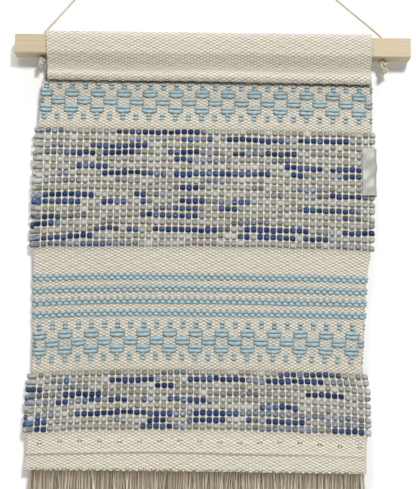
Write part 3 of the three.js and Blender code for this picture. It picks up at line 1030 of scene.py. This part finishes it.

# %% [markdown]
# ## Fringe cotton
# The loose ends are dustier than the cloth. A number called tone gives every strand its own
# random shade, and also carries painted shade: darker for the strands that hang behind, and a
# painted shadow on all of them just under the hem.

# %% Fringe cotton


def fringe_cotton():
    finish = Finish("fringe_cotton", 0.95, sheen=0.1, specular=0.1)
    twist = finish.noise(1.0, 2.0, finish.stretched((900.0, 900.0, 300.0)))
    tone = finish.value("tone")
    stops = [(0.0, (0.17, 0.13, 0.075)), (0.5, (0.45, 0.395, 0.29)), (1.0, (0.68, 0.63, 0.51))]
    base = finish.ramp(tone, stops)
    finish.colour(finish.mix(twist * 0.4, base, (0.3, 0.25, 0.18)))
    finish.bump(twist, 0.6, 0.0004)
    return finish.material


fringe_look = fringe_cotton()
print("fringe finish:", fringe_look.name)

# %% [markdown]
# ## Fringe strands
# Below the hem the warp ends hang loose. Each warp is a soft yarn that has opened into its
# plies, so we hang four thin strands from every warp. They lean on each other in locks, and
# that grouping, more than any single strand, is what makes a fringe look real. A strand
# needs few sides, because it is never seen closer than the cloth around it.

# %% Fringe strands
FRINGE_LENGTH = 90.0
FRINGE_TUCK = 3.2  # how far a strand starts up inside the hem
FRINGE_LEFT, FRINGE_RIGHT = -172.5, 152.0
STRAND_GIRTH = 0.68
PLY_DEPTHS = (-0.9, 0.3, 1.1, 1.5)
STRAND_SIDES, STRAND_STEPS, PLIES = 4, 13, 4
LAST_STRAND = PLIES * (WARPS + 1) - 1
chance = np.random.default_rng(7)
down = np.linspace(0, 1, STRAND_STEPS) ** 1.5
strands = []
for warp in range(WARPS + 1):
    lock = 2.4 * math.sin(warp * 0.55) + 1.6 * math.sin(warp * 1.31 + 1)
    for ply in range(PLIES):
        share = (PLIES * warp + ply) / LAST_STRAND
        start_x = FRINGE_LEFT + (FRINGE_RIGHT - FRINGE_LEFT) * share + chance.normal(0, 0.35)
        start_y = PLY_DEPTHS[(ply + warp) % PLIES] + chance.normal(0, 0.2)
        length = FRINGE_LENGTH + chance.normal(0, 3.0)
        phase = chance.uniform(0, 6.28)
        slant = chance.normal(0, 2.2) * np.sin(down * math.pi * chance.uniform(0.4, 1.6))
        sway = (lock + chance.normal(0, 1.2)) * down**1.4 + slant
        curl = 0.45 * np.sin(phase + down * chance.uniform(7, 13)) * down**0.5
        x = start_x + sway + curl
        y = start_y * (1 + 0.4 * down) + 0.5 * np.sin(phase * 2 + down * 8) * down
        fallen = down * (length + FRINGE_TUCK)
        z = HEM_FOOT + FRINGE_TUCK - fallen
        girth = STRAND_GIRTH * (1 - 0.25 * down**3) * (1 - 0.8 * (down > 0.99))
        angle = np.linspace(0, 2 * math.pi, STRAND_SIDES, endpoint=False)
        ring_x = x[:, None] + girth[:, None] * np.cos(angle)
        ring_y = y[:, None] + float(lie(start_x, HEM_FOOT)) + girth[:, None] * np.sin(angle)
        places = np.stack([ring_x, ring_y, np.broadcast_to(z[:, None], ring_x.shape)], axis=-1)
        # Strands further back get painted shade, on top of each strand's random tone.
        shade = np.clip(0.5 - 0.2 * start_y + chance.normal(0, 0.22), 0, 1)
        # A painted shadow darkens every strand just under the hem.
        below = (fallen - 3.0).clip(0, 90)
        painted_hem_shadow = 1 - 0.95 * np.exp(-((below / 7.0) ** 1.2))
        tone = np.broadcast_to((shade * painted_hem_shadow)[:, None], ring_x.shape)
        strands.append(rolled("strand", places, {"tone": tone}, fringe_look))
fringe = joined("loose_warp_fringe", strands)
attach(fringe, "fringe")
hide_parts("warp_fringe")
print("fringe strands:", PLIES * (WARPS + 1))

# %% [markdown]
# ## Label
# A strip of soft satin ribbon is folded round the selvedge and caught at its corners. It
# carries no words. Its free part is slightly crumpled, as ribbon is after washing. Its
# middle is a line seen from above, and the ribbon stands half its thickness on either side.

# %% Label


def satin():
    finish = Finish("label_satin", 0.42, sheen=0.1, specular=0.45)
    weave = finish.noise(1.0, 2.0, finish.stretched((260.0, 260.0, 2600.0)))
    creases = finish.noise(150.0, 3.0)
    finish.colour(finish.mix(creases * 0.5, (0.32, 0.31, 0.29), (0.255, 0.245, 0.222)))
    finish.bump(weave * 0.3 + creases, 0.5, 0.0006)
    return finish.material


label_low, label_high = from_bar("edge_label")
LABEL_HALF = 0.28
LABEL_ROWS = 60
LABEL_OUT = 3.2  # from the cloth's middle to the ribbon's
label_rows = np.linspace(label_high[2], label_low[2], LABEL_ROWS)
reach = label_high[0] - label_low[0] - LABEL_OUT
bend_x = label_low[0] + reach
turn = np.radians(np.linspace(-90, 90, 13))
ribbon = [(label_low[0] + reach * t, -LABEL_OUT) for t in np.linspace(0, 0.95, 17)]
ribbon += [(bend_x + 3.0 * math.cos(a), LABEL_OUT * math.sin(a)) for a in turn]
ribbon += [(bend_x - reach * t, LABEL_OUT) for t in np.linspace(0.1, 1.0, 12)]
_, middle_line, outward = even_line(ribbon, 0.8)
s = np.arange(len(middle_line))[None, :]
rows = label_rows[:, None]
crease = 0.55 * np.sin(rows / 5.1 + s * 0.16) + 0.35 * np.sin(rows / 2.3 - s * 0.31 + 1)
hold = np.clip(np.minimum(label_high[2] - rows, rows - label_low[2]) / 8, 0.15, 1)
crease = crease * hold * 0.8
faces = []
for side in (1, -1):
    moved = middle_line[None] + (crease + side * LABEL_HALF)[..., None] * outward[None]
    faces.append(moved[:, ::side])
ring = np.concatenate(faces, axis=1)
height = np.broadcast_to(rows + 0.5 * np.sin(s / 6.0), (LABEL_ROWS, len(middle_line)))
height = np.concatenate([height, height[:, ::-1]], axis=1)
label = rolled("edge_ribbon_label", np.concatenate([ring, height[..., None]], axis=-1), {}, satin())
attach(label, "upper_panel")
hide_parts("edge_label")
print("label, mm:", (label_high - label_low).round(1))

# %% [markdown]
# ## A twisted cord
# A twisted cord is three plies wound round each other. We carry two directions square to
# the route along it, so they never flip, wind each ply round it as a helix, and skin each
# ply as a thin tube. The lay is the length of cord in which a ply goes round once.

# %% Twisted cord
PLY_OUT, PLY_RADIUS = 0.245, 0.275  # as shares of the cord's width


def frames(points):
    """A direction along the line and two square to it, carried along without a flip."""
    along = np.gradient(points, axis=0)
    along /= np.linalg.norm(along, axis=1)[:, None]
    first = np.cross(along[0], (0.3, 1.0, 0.2))
    carried = [first / np.linalg.norm(first)]
    for direction in along[1:]:
        side = carried[-1] - direction * np.dot(carried[-1], direction)
        carried.append(side / np.linalg.norm(side))
    first = np.array(carried)
    return along, first, np.cross(along, first)


def even_route(points, step):
    """The route cut to even steps, with the length up to each."""
    points = np.array(points, dtype=float)
    lengths = np.concatenate([[0], np.cumsum(np.linalg.norm(np.diff(points, axis=0), axis=1))])
    s = np.linspace(0, lengths[-1], max(4, round(lengths[-1] / step)) + 1)
    return s, np.stack([np.interp(s, lengths, points[:, k]) for k in range(3)], axis=-1)


def tube(name, points, radius, material, sides=6):
    """A tube through points; radius may change along it."""
    _, first, second = frames(points)
    girth = np.broadcast_to(radius, len(points))[:, None, None]
    angle = np.linspace(0, 2 * math.pi, sides, endpoint=False)[None, :, None]
    ring = np.cos(angle) * first[:, None] + np.sin(angle) * second[:, None]
    return rolled(name, points[:, None] + girth * ring, {}, material)


def twisted(name, points, width, material, lay=5.2, step=0.55, plies=3):
    """A cord through points, as one piece."""
    s, route = even_route(points, step)
    _, first, second = frames(route)
    made = []
    for ply in range(plies):
        wind = 2 * math.pi * (s / lay + ply / plies)
        around_route = np.cos(wind)[:, None] * first + np.sin(wind)[:, None] * second
        helix = route + PLY_OUT * width * around_route
        made.append(tube(f"ply_{ply}", helix, PLY_RADIUS * width, material))
    return joined(name, made)


def cord_cotton():
    finish = Finish("cord_cotton", 0.85, sheen=0.1, specular=0.2)
    fibres = finish.noise(1500.0, 3.0)
    tone = finish.noise(60.0, 2.0)
    base = finish.mix(tone, (0.46, 0.415, 0.33), (0.6, 0.555, 0.46))
    finish.colour(finish.mix(fibres * 0.35, base, (0.3, 0.255, 0.18)))
    finish.bump(fibres, 0.5, 0.0003)
    return finish.material


cord_look = cord_cotton()
print("cord finish:", cord_look.name)

# %% [markdown]
# ## The cord's two legs
# The cord rises from two holes near the ends of the bar and meets in a knot under the nail.
# The bar's weight pulls both legs straight, so a leg is a line from the knot to just above
# its hole and a short bend down into it. The nail isn't over the middle of the bar, so the
# right leg is the longer one.

# %% The cord's legs
CORD_WIDTH = 2.8
HOLE_SPACING = 345.0
LEG_CLEARANCE = 0.8
KNOT_DROP = 15.0
KNOT_HALF = 5.5
bar_top = bar_half[2]
nail = -bar_middle / MM  # the nail is the frame's origin, here from the bar's middle
apex = nail - np.array((0, 0, KNOT_DROP))


def leg_route(side):
    """The same route as the taut cord in the CAD model, from the knot to the hole."""
    hole = side * HOLE_SPACING / 2
    mouth = np.array((hole, 0, bar_top + LEG_CLEARANCE))
    turn = mouth + np.array((-side * 0.5, 0, 2.2))
    along = (turn - apex) / np.linalg.norm(turn - apex)
    start = apex + along * (KNOT_HALF + 0.6)
    straight = [start + (turn - start) * t * 0.985 for t in np.linspace(0, 1, 19)]
    return straight + [mouth + np.array((-side * 0.05, 0, 0.8)), mouth]


legs = {}
for name, side in (("left", -1), ("right", 1)):
    route = leg_route(side)
    leg = twisted(f"cord_{name}_leg", route, CORD_WIDTH, cord_look)
    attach(leg, "cord")
    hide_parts(f"cord_leg_{name}")
    legs[name] = (leg, route)
print("legs:", {name: len(leg.data.polygons) for name, (leg, _) in legs.items()})

# %% [markdown]
# ## The tied loop
# Above the knot the cord makes a small loop for the nail, pulled narrow at its foot. An
# overhand knot that is drawn tight follows the path of a trefoil, which three sines give.
# The knot and the loop ride on the cord with both legs.

# %% The tied loop


def overhand(name, middle, size, width):
    """An overhand knot drawn tight: a cord on the path of a trefoil."""
    t = np.linspace(0.15, 2 * math.pi - 0.15, 90)
    x = np.sin(t) + 2 * np.sin(2 * t)
    y = -1.2 * np.sin(3 * t)
    z = np.cos(t) - 2 * np.cos(2 * t)
    path = np.stack([x, y, z], axis=-1) * size / 3.0 + np.array(middle)
    return twisted(name, path, width, cord_look, lay=4.4)


loop_low, loop_high = from_bar("hanging_loop")
loop_middle = (loop_low + loop_high) / 2
loop_width = (loop_high[0] - loop_low[0] - CORD_WIDTH) / 2
loop_height = (loop_high[2] - loop_low[2] - CORD_WIDTH) / 2
t = np.linspace(-math.pi / 2 + 0.25, 1.5 * math.pi - 0.25, 60)
ring = np.stack([np.cos(t) * loop_width, 0 * t, np.sin(t) * loop_height], axis=-1)
ring[:, 0] *= 1 - 0.25 * np.clip(-np.sin(t), 0, 1) ** 2
loop = twisted("tied_loop", ring + loop_middle, CORD_WIDTH, cord_look)
knot = overhand("loop_knot", apex, 3.2, 2.3)
for piece, node in ((loop, "hanging_loop"), (knot, "hanging_knot")):
    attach(piece, "cord")
    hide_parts(node)


def metres(points):
    return [tuple(float(value) for value in point * MM + bar_middle) for point in points]


def leg_length(route):
    return float(np.linalg.norm(np.diff(np.array(route), axis=0), axis=1).sum()) * MM


for name, far_end, carried in (("left", "knot", [knot, loop]), ("right", "knot", [])):
    leg, route = legs[name]
    leg.visible_shadow = False  # thin lines of shadow would trouble the white wall
    way = metres(route[::-1])
    length = leg_length(route)
    print(name, "leg, m:", round(length, 4))

# %% [markdown]
# ## Knots under the bar
# Each end of the cord comes out under the bar, is tied in an overhand knot that can't pass
# the hole, and frays into small brushes of fibres. A second turn of the knot hangs beside the
# first, and its place, like the tails', is different on the two sides, as hand-tied knots are.

# %% Knots and frayed ends


def frayed(name, root, length, spread, count, seed):
    """A brush of loose fibres, each leaning and bending its own way."""
    draw = np.random.default_rng(seed)
    hairs = []
    for _ in range(count):
        lean = draw.normal(0, spread, 2)
        bend = draw.normal(0, 0.8, 2)
        t = np.linspace(0, 1, 7)[:, None]
        reach_down = length * draw.uniform(0.6, 1.0)
        aside = t * lean[0] + t**2 * bend[0]
        forward_or_back = t * lean[1] * 0.6 + t**2 * bend[1] * 0.6
        offset = np.concatenate([aside, forward_or_back, -t * reach_down], axis=1)
        start = np.array(root) + np.append(draw.normal(0, 0.6, 2), 0)
        hairs.append(tube("hair", start + offset, 0.27 * (1 - 0.5 * t[:, 0] ** 2), cord_look, 5))
    return joined(name, hairs)


bar_foot = -bar_half[2]
TAIL_HAIRS, TAIL_SPREAD = 24, 1.5
SECOND_KNOTS = {"left": (-2.6, -8.2, 2.0), "right": (2.2, -11.4, 2.5)}
TAILS = {"left": [(-3.6, -9.5, 4.5)], "right": [(-0.6, -12.0, 6.0), (4.4, -10.0, 4.0)]}
for name, side in (("left", -1), ("right", 1)):
    hole = side * HOLE_SPACING / 2
    stub_path = [(hole, 0, bar_top - 0.3), (hole, 0, bar_foot - 1.5)]
    stub = twisted(f"cord_through_{name}_hole", stub_path, CORD_WIDTH, cord_look)
    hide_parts(f"cord_in_hole_{name}")
    out, drop, size = SECOND_KNOTS[name]
    parts = [
        overhand("first_knot", (hole + 0.5 * side, 0, bar_foot - 4.9), 3.8, 3.0),
        overhand("second_knot", (hole + out, -0.6, bar_foot + drop), size * 1.15, 2.3),
    ]
    for number, (out, drop, length) in enumerate(TAILS[name]):
        root = (hole + out, -0.4, bar_foot + drop)
        parts.append(frayed("tail", root, length, TAIL_SPREAD, TAIL_HAIRS, 3 + number + side))
    tied = joined(f"knot_under_{name}", parts)
    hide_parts(f"cord_knot_{name}")
    for piece in (stub, tied):
        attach(piece, "bar")
print("knots tied")

# %% [markdown]
# ## Sewing threads
# The flap is whipped to the panel under its hem with a thin dark brown thread, whose dark
# colour is partly painted shadow for the line under the hem's roll. The bottom hem has a
# running stitch in a paler thread that hardly shows: only its short bars between the holes
# come to the front.

# %% Sewing threads


def sewing_thread(name, dark, light, fuzz):
    finish = Finish(name, 0.8, specular=0.2)
    fibres = finish.noise(1800.0, 2.0)
    finish.colour(finish.mix(fibres, dark, light))
    finish.bump(fibres, fuzz, 0.0002)
    return finish.material


# The flap thread's dark brown is partly the thread's colour and partly painted shadow under the hem's roll.
dark_thread_and_shadow = sewing_thread("sewing_thread", (0.12, 0.085, 0.055), (0.24, 0.18, 0.12), 0.3)
pale_thread = sewing_thread("pale_thread", (0.36, 0.3, 0.2), (0.55, 0.5, 0.4), 0.0)
flap_low, flap_high = from_bar("flap_thread")
x = np.linspace(flap_low[0] + 1, flap_high[0] - 1, 700)
u = (x - FLAP_LEFT) / (FLAP_RIGHT - FLAP_LEFT) * WARPS
pull, slack = stitched_edge(u)
z = flap_low[2] + 0.3 + 1.1 * pull + slack
y = -1.35 - 1.0 * np.abs(np.sin(math.pi * u / 4))
whip = tube("flap_whip_stitch", np.stack([x, y, z], axis=-1), 0.42, dark_thread_and_shadow)
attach(whip, "sleeve")
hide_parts("flap_thread")
runs = []
for x_hole in np.arange(FIRST_STITCH, 150.0, STITCH_PITCH):
    t = np.linspace(-1, 1, 9)
    x = x_hole + t * HOLE_GAP / 2
    z = STITCH_HEIGHT - 0.8 * np.sin(x / 17)
    y = lie(x, z) - 1.55 - 0.45 * np.cos(t * math.pi / 2)
    runs.append(tube("run", np.stack([x, y, z], axis=-1), 0.3, pale_thread, 5))
hem_stitch = joined("hem_running_stitch", runs)
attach(hem_stitch, "lower_panel")
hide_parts("hem_thread")
print("stitches in the hem:", len(runs))

# %% [markdown]
# ## The bar
# The bar keeps its CAD shape and gets the look of bare sanded pine: long, slightly wavy grain
# lines along its length, fine pores, and a warmer tone in the late wood.

# %% Bare wood


def bare_wood():
    finish = Finish("bare_wood", 0.52, specular=0.35)
    bent = finish.noise(1.0, 2.0, finish.stretched((5.0, 40.0, 40.0)))
    grain = finish.noise(1.0, 4.0, finish.stretched((7.0, 420.0, 420.0)), rough=0.6)
    pores = finish.noise(1.0, 2.0, finish.stretched((90.0, 2600.0, 2600.0)))
    late = finish.smooth(grain + bent * 0.35, 0.55, 0.85)
    base = finish.mix(late, (0.43, 0.365, 0.245), (0.37, 0.29, 0.175))
    base = finish.mix(bent * 0.5, base, (0.45, 0.39, 0.275))
    finish.colour(finish.mix(pores * 0.3, base, (0.4, 0.28, 0.15)))
    finish.bump(grain * 0.5 + pores * 0.5, 0.35, 0.0004)
    return finish.material


wooden_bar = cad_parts["wooden_bar"]
wooden_bar.data.materials.clear()
wooden_bar.data.materials.append(bare_wood())
print("bar finish set")

# %% [markdown]
# ## Flat sizes
# The cloth was woven and cut flat before it was hung, so each stretch's flat size is worked
# out; only the panel's width is printed.

# %% Flat sizes


def flat_size(top, bottom):
    width = float(warp_place(WARPS, (top + bottom) / 2) - warp_place(0, (top + bottom) / 2))
    return (width * MM, float(top - bottom) * MM)


def line_length(points):
    return float(np.hypot(*np.diff(np.array(points), axis=0).T).sum())


for name, (heights_made, _) in ground.items():
    flat_size(heights_made[0], heights_made[-1])
flat_size(lower_foot, HEM_FOOT)
label_flat = (line_length(ribbon) * MM, float(label_high[2] - label_low[2]) * MM)
print("panel width, m:", round(flat_size(-38, -420)[0], 3))

# %% [markdown]
# ## Wall and floor
# The hanging is shown against a plain white wall with a pale floor far below. The wall is
# clear from behind and casts no shadow, so that the back can be looked at and lit as well.

# %% Wall and floor


def plain_board(name, size, place, turned_to):
    sheet = bmesh.new()
    bmesh.ops.create_grid(sheet, x_segments=1, y_segments=1, size=size)
    bmesh.ops.transform(sheet, matrix=Matrix.Translation(place) @ turned_to, verts=sheet.verts)
    mesh = bpy.data.meshes.new(name)
    sheet.to_mesh(mesh)
    sheet.free()
    board = bpy.data.objects.new(name, mesh)
    bpy.context.collection.objects.link(board)
    return board


WALL_GAP = 0.6
wall_place = Vector((0, (from_bar("sleeve_back")[1][1] + WALL_GAP) * MM, -0.4))
wall = plain_board("wall", 4.0, wall_place, Matrix.Rotation(math.radians(90), 4, "X"))
paint = Finish("wall_paint", 0.9, specular=0.1)
paint.shader.inputs["Base Color"].default_value = (0.79, 0.79, 0.785, 1)
behind = paint.node("ShaderNodeNewGeometry", output=6)
clear = paint.node("ShaderNodeBsdfTransparent")
both = paint.tree.nodes.new("ShaderNodeMixShader")  # the wall's front, or clear behind
paint.tree.links.new(behind.socket, both.inputs[0])
paint.tree.links.new(paint.shader.outputs[0], both.inputs[1])
paint.tree.links.new(clear.socket, both.inputs[2])
paint.tree.links.new(both.outputs[0], paint.tree.nodes["Material Output"].inputs[0])
wall.data.materials.append(paint.material)
wall.visible_shadow = False
floor = plain_board("floor", 4.0, Vector((0, 0, -1.6)), Matrix.Identity(4))
pale = Finish("floor_paint", 0.8, specular=0.1)
pale.shader.inputs["Base Color"].default_value = (0.85, 0.85, 0.84, 1)
floor.data.materials.append(pale.material)


print("wall", WALL_GAP, "mm behind the cloth")

# %% [markdown]
# ## Light
# The main light stands high in front and to the right. One above the bar grazes the cloth,
# which shades every grain and makes the sleeve bright on top and dark underneath. Weak
# lights from the left and from below soften the shadows, and one behind the wall is there
# for looking at the back.

# %% Light


def soft_light(name, place, aim, size, power):
    lamp = bpy.data.lights.new(name, "AREA")
    lamp.shape = "DISK"
    lamp.size = size
    lamp.energy = power
    made = bpy.data.objects.new(name, lamp)
    bpy.context.collection.objects.link(made)
    facing = (Vector(aim) - Vector(place)).to_track_quat("-Z", "Y")
    made.matrix_world = Matrix.Translation(place) @ facing.to_matrix().to_4x4()


cloth_middle = (0.0, 0.0, -0.4)
soft_light("key", (0.64, -2.42, 0.85), cloth_middle, 0.5, 68)
soft_light("side", (-1.2, -2.2, 1.0), cloth_middle, 0.9, 11)
soft_light("overhead", (-0.2, -0.75, 2.1), cloth_middle, 0.8, 50)
soft_light("low", (0.1, -2.3, -1.5), cloth_middle, 0.9, 3.5)
soft_light("back", (0.6, 1.8, 0.5), cloth_middle, 1.4, 34)
room = bpy.data.worlds.new("room")
room.use_nodes = True
room.node_tree.nodes["Background"].inputs["Color"].default_value = (1, 1, 1, 1)
room.node_tree.nodes["Background"].inputs["Strength"].default_value = 0.065
bpy.context.scene.world = room
bpy.context.scene.view_settings.view_transform = "Standard"
print("lights set")
